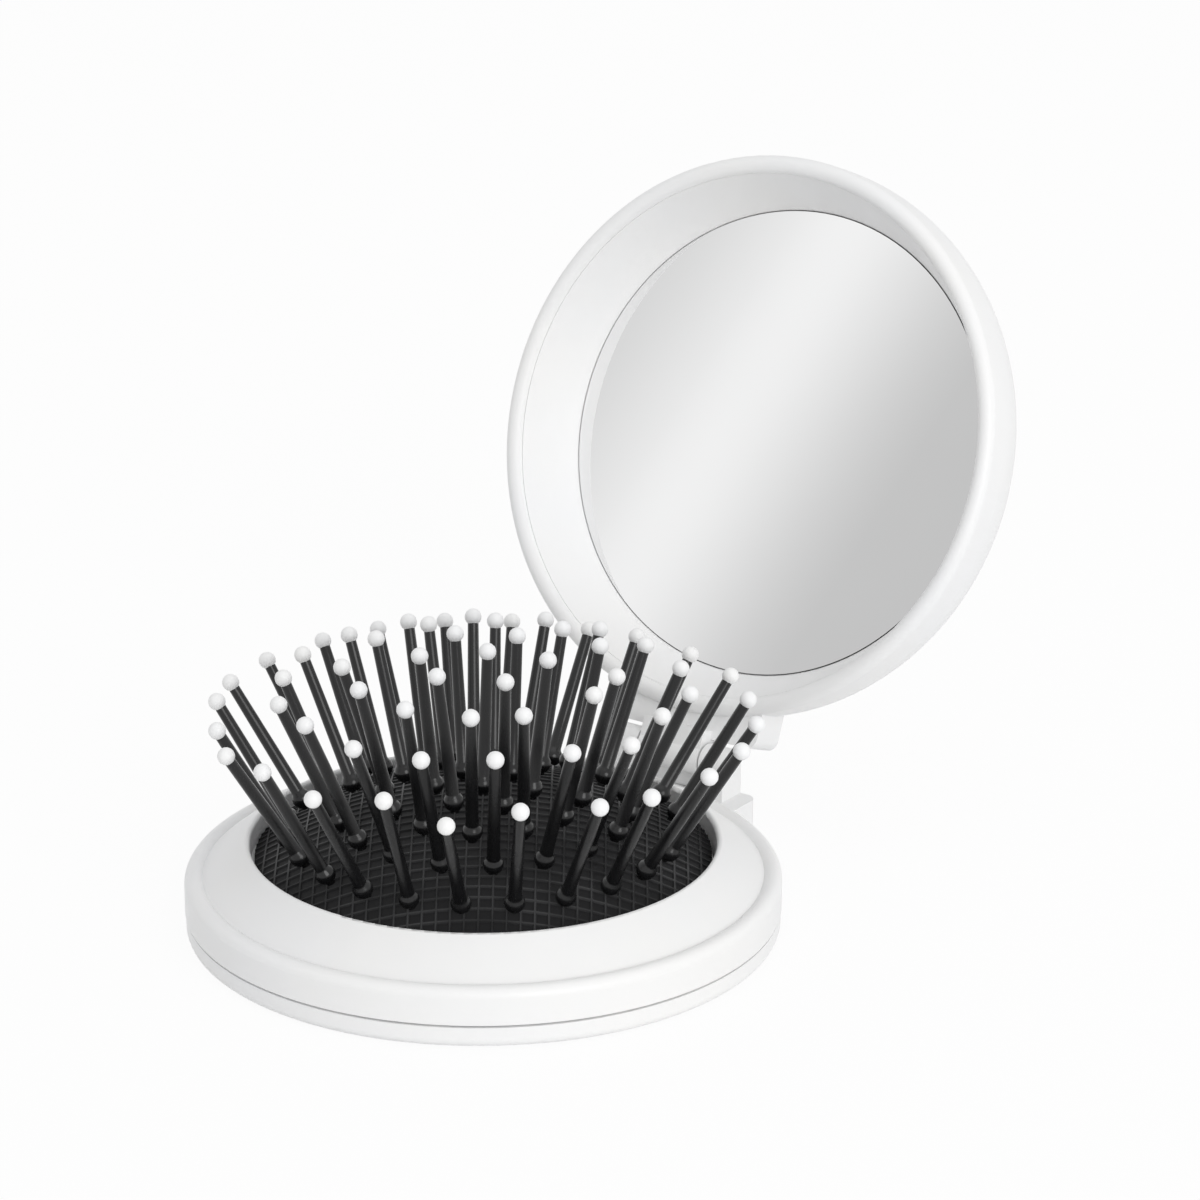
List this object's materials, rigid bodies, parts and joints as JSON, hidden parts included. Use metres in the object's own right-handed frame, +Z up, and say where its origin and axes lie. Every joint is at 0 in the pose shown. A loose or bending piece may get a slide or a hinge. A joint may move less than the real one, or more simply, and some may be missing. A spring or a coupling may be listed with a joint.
{
  "type": "folding hairbrush with mirror",
  "caption": "Round pocket hairbrush with a rubber pad of ball-tipped pins, and a hinged lid that opens past upright and holds a round mirror.",
  "frame": {"origin": "middle of the base's underside, on the table", "axes": "+X along the hinge pin, +Y towards the hinge, +Z up through the pad"},
  "size_m": [0.0662, 0.1058, 0.0742],
  "materials": {
    "shell": "satin white",
    "pad": "matt, moulded with a fine square lattice",
    "pins": "semi-gloss black",
    "tips": "satin white",
    "mirror": "polished",
    "foam_tape": "matt foam",
    "steel_pin": "bright drawn"
  },
  "bodies": {
    "base": {"lower_case": "shell", "base_ring": "shell", "hinge_pin": "steel_pin"},
    "lid": {"lid_shell": "shell", "mirror_frame": "shell", "mirror": "mirror", "mirror_tape": "foam_tape"},
    "brush": {"brush_carrier": "shell", "push_button": "shell", "cushion_ring": "shell", "cushion": "pad", "pin_centre": "pins", "pins_ring_1": "pins", "pins_ring_2": "pins", "pins_ring_3": "pins", "pins_ring_4": "pins", "tip_centre": "tips", "tips_ring_1": "tips", "tips_ring_2": "tips", "tips_ring_3": "tips", "tips_ring_4": "tips"}
  },
  "joints": [
    {"name": "lid_hinge", "type": "hinge", "parent": "base", "child": "lid", "pos_m": [0, 0.038, 0.008], "axis": [1, 0, 0], "range_deg": [0, 111.2]},
    {"name": "brush_slide", "type": "slide", "parent": "base", "child": "brush", "axis": [0, 0, 1], "range_m": [-0.006, 0], "deforming": ["cushion", "pin_centre", "pins_ring_1", "pins_ring_2", "pins_ring_3", "pins_ring_4", "tip_centre", "tips_ring_1", "tips_ring_2", "tips_ring_3", "tips_ring_4"]}
  ],
  "couplings": [
    {"joint": "brush_slide", "follows": "lid_hinge", "m_per_rad": -0.00309}
  ]
}
